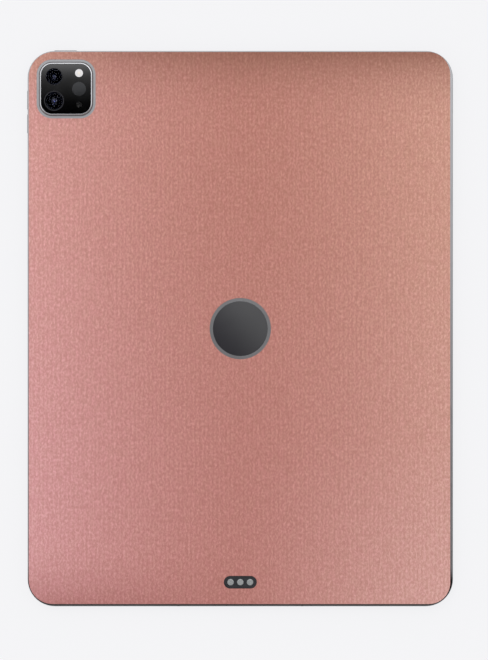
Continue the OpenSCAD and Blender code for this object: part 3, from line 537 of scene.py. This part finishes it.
def module_shell():
    f = Finish("module_shell", shade(17, 17, 20), 0.45, 0.0, Specular_IOR_Level=0.1)
    return f.vary(shade(13, 13, 16), shade(22, 22, 26), 1.2, (0.38, 0.52), 0.06, 0.004).material


def plate_steel():
    """Rolled sheet, with its rolling marks along X."""
    f = Finish("plate_steel", shade(184, 184, 182), 0.32, 1.0)
    marks = f.noise((3.5, 0.07, 0.07), 3, 0.6)
    f.set("Base Color", f.mix(f.spread(marks, 0.3, 0.7), shade(174, 174, 172), shade(194, 194, 192)))
    f.set("Roughness", f.spread(marks, 0.3, 0.7, 0.26, 0.4))
    f.bump(marks, 0.003, 0.3)
    return f.material


def circuit_board():
    """Green solder mask over copper traces that run along the board and across it."""
    f = Finish("circuit_board", shade(20, 78, 50), 0.3, 0.0, Coat_Weight=0.4)
    along = f.spread(f.noise((0.35, 9.0, 9.0), 1), 0.56, 0.6)
    across = f.spread(f.noise((7.0, 0.35, 9.0), 1), 0.6, 0.64)
    traces = f.math("MAXIMUM", along, across)
    f.set("Base Color", f.mix(traces, shade(16, 70, 44), shade(40, 112, 72)))
    f.bump(traces, 0.03, 0.6)
    return f.material


def chip_resin():
    f = Finish("chip_resin", shade(40, 40, 42), 0.6)
    return f.vary(shade(34, 34, 36), shade(48, 48, 50), 2, (0.5, 0.7), 0.06, 0.01).material


def shield_tin():
    f = Finish("shield_tin", shade(196, 196, 192), 0.3, 1.0)
    return f.vary(shade(184, 184, 180), shade(206, 206, 203), 5, (0.24, 0.42), 0.1, 0.004).material


def graphite():
    """Rolled graphite film: dark grey with a streaky sheen."""
    f = Finish("graphite", shade(70, 70, 73), 0.45, 0.5)
    streaks = f.noise((1.2, 14.0, 5.0), 4, 0.65)
    f.set("Base Color", f.mix(f.spread(streaks, 0.3, 0.7), shade(58, 58, 61), shade(82, 82, 86)))
    f.set("Roughness", f.spread(streaks, 0.3, 0.7, 0.36, 0.56))
    f.bump(streaks, 0.01, 0.3)
    return f.material


def battery_pouch():
    """Black laminate over wound cells, with soft ripples."""
    f = Finish("battery_pouch", shade(58, 58, 60), 0.5)
    ripples = f.noise((14, 26, 10), 3, 0.55)
    fine = f.noise(0.2, 2)
    f.set("Base Color", f.mix(f.spread(fine, 0.3, 0.7), shade(52, 52, 54), shade(64, 64, 66)))
    f.set("Roughness", f.spread(ripples, 0.3, 0.7, 0.42, 0.58))
    f.bump(fine, 0.01, 0.3, f.bump(ripples, 0.15, 0.4))
    return f.material


def adhesive():
    f = Finish("adhesive", shade(232, 232, 226), 0.5, 0.0, Subsurface_Weight=0.2)
    return f.vary(shade(224, 224, 216), shade(238, 238, 233), 4, (0.42, 0.6), 0.15, 0.006).material


def copper():
    """Enamelled wire, wound flat: its turns are fine lines along the coil."""
    f = Finish("copper", shade(208, 128, 82), 0.26, 1.0, Coat_Weight=0.5)
    turns = f.math("SINE", f.math("MULTIPLY", f.axis("Z"), 2 * math.pi / (0.12 * MM)))
    f.set("Base Color", f.mix(f.spread(turns, -1.0, 1.0), shade(176, 98, 58), shade(222, 144, 98)))
    f.bump(turns, 0.02, 0.5)
    return f.material


def magnet_plating():
    f = Finish("magnet_plating", shade(176, 176, 178), 0.2, 1.0)
    return f.vary(shade(166, 166, 168), shade(186, 186, 188), 3, (0.14, 0.28), 0.1, 0.002).material


def flex_film():
    """Amber film over copper conductors that run the length of the strip."""
    f = Finish("flex_film", shade(196, 130, 52), 0.22, 0.0, Coat_Weight=0.5)
    lines = f.math("SINE", f.math("MULTIPLY", f.axis("X"), 2 * math.pi / (0.5 * MM)))
    f.set("Base Color", f.mix(f.spread(lines, -0.4, 0.4), shade(168, 102, 36), shade(206, 142, 62)))
    f.bump(f.spread(lines, -0.4, 0.4), 0.02, 0.4)
    return f.material


def screw_steel():
    f = Finish("screw_steel", shade(170, 170, 171), 0.3, 1.0)
    return f.vary(shade(158, 158, 160), shade(182, 182, 183), 0.8, (0.22, 0.38), 0.06, 0.002).material


FINISHES = {
    make.__name__: make() for make in (
        skin_film, anodised_aluminium, antenna_plastic, emblem_metal, frame_metal, seal_rubber,
        dark_glass, lens_metal, lens_glass, flash_plastic, sensor_window, fine_mesh, pad_plastic,
        contact_metal, gold_plate, port_steel, black_plastic, window_paint, cover_glass, gasket,
        border_ink, display_layer, backlight_film, module_shell, plate_steel, circuit_board,
        chip_resin, shield_tin, graphite, battery_pouch, adhesive, copper, magnet_plating,
        flex_film, screw_steel, lens_coating, baffle_black)
}
for part in frame["record"]["subparts"]:
    for material_slot in frame["nodes"][part["node"]].material_slots:
        material_slot.material = FINISHES[part["material_slot"]]
for button in BUTTONS:
    for material_slot in frame["nodes"][button].material_slots:
        material_slot.material = button_metal(button)


# ---- Pieces that add to the CAD nodes ----

def place(name, points, faces, finish, slot, smooth=True):
    mesh = bpy.data.meshes.new(name)
    mesh.from_pydata(points, [], faces)
    mesh.validate()
    mesh.materials.append(FINISHES[finish])
    piece = bpy.data.objects.new(name, mesh)
    bpy.context.scene.collection.objects.link(piece)
    if smooth:
        mesh.shade_smooth()
        mesh.set_sharp_from_angle(angle=math.radians(35))
    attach(piece, BODY)
    return piece


def turned(name, centre, outline, finish, slot, steps=72):
    """A solid of revolution. The outline is a closed loop of radius and height, in metres."""
    points, faces, rows = [], [], []
    for radius, height in outline:
        if radius < 1e-7:
            rows.append([len(points)] * steps)
            points.append((centre.x, centre.y, height))
            continue
        rows.append(list(range(len(points), len(points) + steps)))
        for step in range(steps):
            turn = 2 * math.pi * step / steps
            points.append((centre.x + radius * math.cos(turn),
                           centre.y + radius * math.sin(turn), height))
    for this, following in zip(rows, rows[1:] + rows[:1]):
        for step in range(steps):
            corner = (this[step], this[(step + 1) % steps],
                      following[(step + 1) % steps], following[step])
            loop = list(dict.fromkeys(corner))
            if len(loop) > 2:
                faces.append(loop)
    return place(name, points, faces, finish, slot)


# How far each step inside a camera's barrel is in from its wall, and how deep it is
BARREL_STEPS = ((0.7 * MM, 0.4 * MM), (1.6 * MM, 0.8 * MM), (2.6 * MM, 1.2 * MM))
STEP_GAP = 0.03 * MM
RIDGES = 4
RIDGE_TOP = 0.2 * MM
RIDGE_FOOT = 0.08 * MM
IRIS_TOP = 0.28 * MM
IRIS_RIM = 0.15 * MM
IRIS_EDGE = 0.06 * MM
ELEMENT_SIDE = 0.2 * MM
ELEMENT_CROWN = 0.45 * MM
DOME_STEPS = 10


def lens_stack(name, module, barrel_radius):
    """What is seen down a lens: a ridged ring, a sloping iris and a coated element."""
    centre = middle(module)
    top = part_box(module)[1].z
    radii = [barrel_radius - inset for inset, depth in BARREL_STEPS]
    floors = [top - depth for inset, depth in BARREL_STEPS]

    inner, outer = radii[1] + STEP_GAP, radii[0] - STEP_GAP
    pitch = (outer - inner) / RIDGES
    low = floors[0] + STEP_GAP
    outline = [(inner, low), (outer, low)]
    for ridge in range(RIDGES):
        right = outer - ridge * pitch
        outline += [(right, low + RIDGE_TOP), (right - 0.6 * pitch, low + RIDGE_FOOT)]
    turned(f"{name}_baffle", centre, outline + [(inner, low + RIDGE_TOP)],
           "baffle_black", "module_shell")

    inner, outer = radii[2] + STEP_GAP, radii[1] - STEP_GAP
    low = floors[1] + STEP_GAP
    turned(f"{name}_iris", centre,
           [(inner, low), (outer, low), (outer, low + IRIS_TOP),
            (outer - IRIS_RIM, low + IRIS_TOP), (inner, low + IRIS_EDGE)],
           "baffle_black", "module_shell")

    radius, low, crown = radii[2] - STEP_GAP, floors[2] + STEP_GAP, ELEMENT_CROWN
    bend = (radius * radius + crown * crown) / (2 * crown)
    sweep = math.asin(radius / bend)
    dome = []
    for step in range(DOME_STEPS + 1):
        turn = sweep * (1 - step / DOME_STEPS)
        height = low + ELEMENT_SIDE + crown - bend + bend * math.cos(turn)
        dome.append((bend * math.sin(turn), height))
    turned(f"{name}_element", centre, [(0.0, low), (radius, low)] + dome,
           "lens_coating", "lens_glass")


lens_stack("wide_lens", "wide_camera_module", 4.3 * MM)
lens_stack("ultrawide_lens", "ultrawide_camera_module", 3.9 * MM)


def flash_lens():
    """The flash's cover, with the rings of a flat magnifying lens."""
    low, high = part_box("flash_diffuser")
    radius, rings, depth = half_width("flash_diffuser"), 7, 0.06 * MM
    flat_rim = 0.25 * MM
    pitch = (radius - flat_rim) / rings
    outline = [(0.0, low.z), (radius, low.z), (radius, high.z - 0.05 * MM),
               (radius - 0.05 * MM, high.z), (radius - flat_rim, high.z)]
    for ring in range(rings - 1):
        edge = radius - flat_rim - ring * pitch
        outline += [(edge - 0.15 * pitch, high.z - depth), (edge - pitch, high.z - 0.01 * MM)]
    outline.append((0.0, high.z - 0.02 * MM))
    piece = turned("flash_lens", middle("flash_diffuser"), outline, "flash_plastic", "flash_plastic")
    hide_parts("flash_diffuser")


flash_lens()


def woven(name, node, across, along, thin, pitch, wire):
    """A round mesh of crossing wires in a node's place. across, along and thin are axis numbers."""
    low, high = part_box(node)
    centre = (low + high) / 2
    half = (high - low) / 2
    points, faces = [], []

    def strand(fixed, run, offset, phase):
        reach = math.sqrt(max(0.0, half[run] ** 2 - offset ** 2))
        if reach < pitch:
            return
        count = max(2, round(2 * reach / (pitch / 2)))
        first = len(points)
        for i in range(count + 1):
            t = -reach + 2 * reach * i / count
            sway = 0.45 * wire * math.cos(math.pi * t / pitch + phase)
            for turn in range(4):
                angle = math.pi * (turn + 0.5) / 2
                point = Vector(centre)
                point[run] += t
                point[fixed] += offset + wire / 2 * math.cos(angle)
                point[thin] += sway + wire / 2 * math.sin(angle)
                points.append(tuple(point))
        for i in range(count):
            for turn in range(4):
                a = first + 4 * i + turn
                b = first + 4 * i + (turn + 1) % 4
                faces.append((a, b, b + 4, a + 4))
        faces.append([first + turn for turn in range(3, -1, -1)])
        faces.append([first + 4 * count + turn for turn in range(4)])

    for fixed, run in ((across, along), (along, across)):
        lines = int((half[fixed] - wire / 2) / pitch)
        for line in range(-lines, lines + 1):
            strand(fixed, run, line * pitch, math.pi * (line % 2) + (math.pi if fixed == along else 0))
    piece = place(name, points, faces, "fine_mesh", "fine_mesh", smooth=False)
    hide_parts(node)


woven("rear_microphone_weave", "rear_microphone_mesh", 0, 1, 2, 0.13 * MM, 0.09 * MM)


# ---- Studio ----

FIELD_HEIGHT = 0.3334  # of the surface that the picture takes in
CAMERA_HEIGHT = 1.8  # above the skin
AIM = Vector((1.87 * MM, -0.69 * MM))  # from the housing's middle


def camera():
    data = bpy.data.cameras.new("camera")
    data.sensor_width = 36
    data.lens = data.sensor_width * CAMERA_HEIGHT / FIELD_HEIGHT
    data.clip_end = 50
    view = bpy.data.objects.new("camera", data)
    centre = (housing_low + housing_high) / 2
    view.location = (centre.x + AIM.x, centre.y + AIM.y, skin_high.z + CAMERA_HEIGHT)
    bpy.context.scene.collection.objects.link(view)
    bpy.context.scene.camera = view


PAPER = shade(245, 245, 247)


def world():
    sky = bpy.data.worlds.new("studio")
    sky.use_nodes = True
    background = sky.node_tree.nodes["Background"]
    background.inputs["Color"].default_value = (*PAPER, 1)
    background.inputs["Strength"].default_value = 1.0
    bpy.context.scene.world = sky


def flat_sheet(name, half_x, half_y):
    mesh = bpy.data.meshes.new(name)
    mesh.from_pydata([(-half_x, -half_y, 0), (half_x, -half_y, 0), (half_x, half_y, 0),
                      (-half_x, half_y, 0)], [], [(0, 1, 2, 3)])
    sheet = bpy.data.objects.new(name, mesh)
    bpy.context.scene.collection.objects.link(sheet)
    return sheet


def floor():
    """A lit table of pale paper, which takes only a faint shadow."""
    table = flat_sheet("floor", 6.0, 6.0)
    table.location.z = cad_box[0].z - 0.02 * MM
    f = Finish("floor", (0.11, 0.11, 0.11), 0.8, 0.0, Specular_IOR_Level=0.0,
               Emission_Color=(*PAPER, 1.0), Emission_Strength=0.875)
    table.data.materials.append(f.material)


def card(name, at, half_x, half_y, stops):
    """A glowing card overhead that only glossy surfaces see. Its stops are places along Y, in
    metres from its middle, each with its brightness."""
    sheet = flat_sheet(name, half_x, half_y)
    sheet.location = at
    sheet.visible_camera = False
    sheet.visible_diffuse = False
    sheet.visible_transmission = False
    sheet.visible_shadow = False
    f = Finish(name, (0.0, 0.0, 0.0), 1.0, 0.0, Specular_IOR_Level=0.0)
    glow = stops[0][1]
    for (start, low), (end, high) in zip(stops, stops[1:]):
        step = f.add("ShaderNodeMapRange")
        for socket, value in zip(("Value", "From Min", "From Max", "To Min", "To Max"),
                                 (f.axis("Y"), start, end, 0.0, high - low)):
            f.feed(step.inputs[socket], value)
        glow = f.math("ADD", step.outputs["Result"], glow)
    f.set("Emission Color", f.mix(f.spread(f.axis("Y"), -0.25, 0.0), (1.0, 0.84, 0.76), PAPER))
    f.set("Emission Strength", glow)
    sheet.data.materials.append(f.material)


def cards():
    """One wide card, bright beyond the top edge and dim beyond the bottom edge, and below it a
    small one where the camera plateau's glass is seen to mirror it."""
    high = 0.5
    card("card", (0, 0, high), 0.7, 0.7,
         ((-0.35, 0.0), (-0.2, 0.08), (-0.03, 0.52), (0.03, 0.8), (0.155, 1.2), (0.3, 1.9)))
    near = 0.45
    eye = bpy.context.scene.camera.location
    spot = plateau + (plateau - eye) * near / CAMERA_HEIGHT
    reach = plateau_half * (1 + near / CAMERA_HEIGHT)
    card("plateau_card", (spot.x, spot.y, near), 2.2 * reach, 2.2 * reach,
         ((-reach, 0.0), (-0.55 * reach, 0.05), (0.0, 0.33), (0.35 * reach, 0.62),
          (0.6 * reach, 1.2), (reach, 3.0)))


def softbox(name, at, aim, size, power):
    data = bpy.data.lights.new(name, "AREA")
    data.shape = "RECTANGLE"
    data.size, data.size_y = size
    data.energy = power
    light = bpy.data.objects.new(name, data)
    light.location = at
    light.rotation_mode = "QUATERNION"
    light.rotation_quaternion = (Vector(aim) - Vector(at)).to_track_quat("-Z", "Y")
    light.visible_camera = False
    bpy.context.scene.collection.objects.link(light)
    return light


def glints():
    """A narrow lamp to each side of the camera, which only its curved lenses mirror."""
    seen_by = bpy.data.collections.new("curved_lenses")
    for node in ("wide_lens", "ultrawide_lens"):
        seen_by.objects.link(frame["nodes"][node])
        seen_by.objects.link(bpy.data.objects[f"{node}_element"])
    for side in (-1, 1):
        at = (plateau.x + side * 0.09, plateau.y, 0.2)
        lamp = softbox(f"glint_{side}", at, plateau, (0.008, 0.03), 0.1)
        lamp.light_linking.receiver_collection = seen_by


camera()
world()
floor()
cards()
glints()
softbox("key", (-0.5, 0.9, 2.4), (0, 0, 0), (1.6, 1.6), 9)
bpy.context.scene.view_settings.view_transform = "Standard"
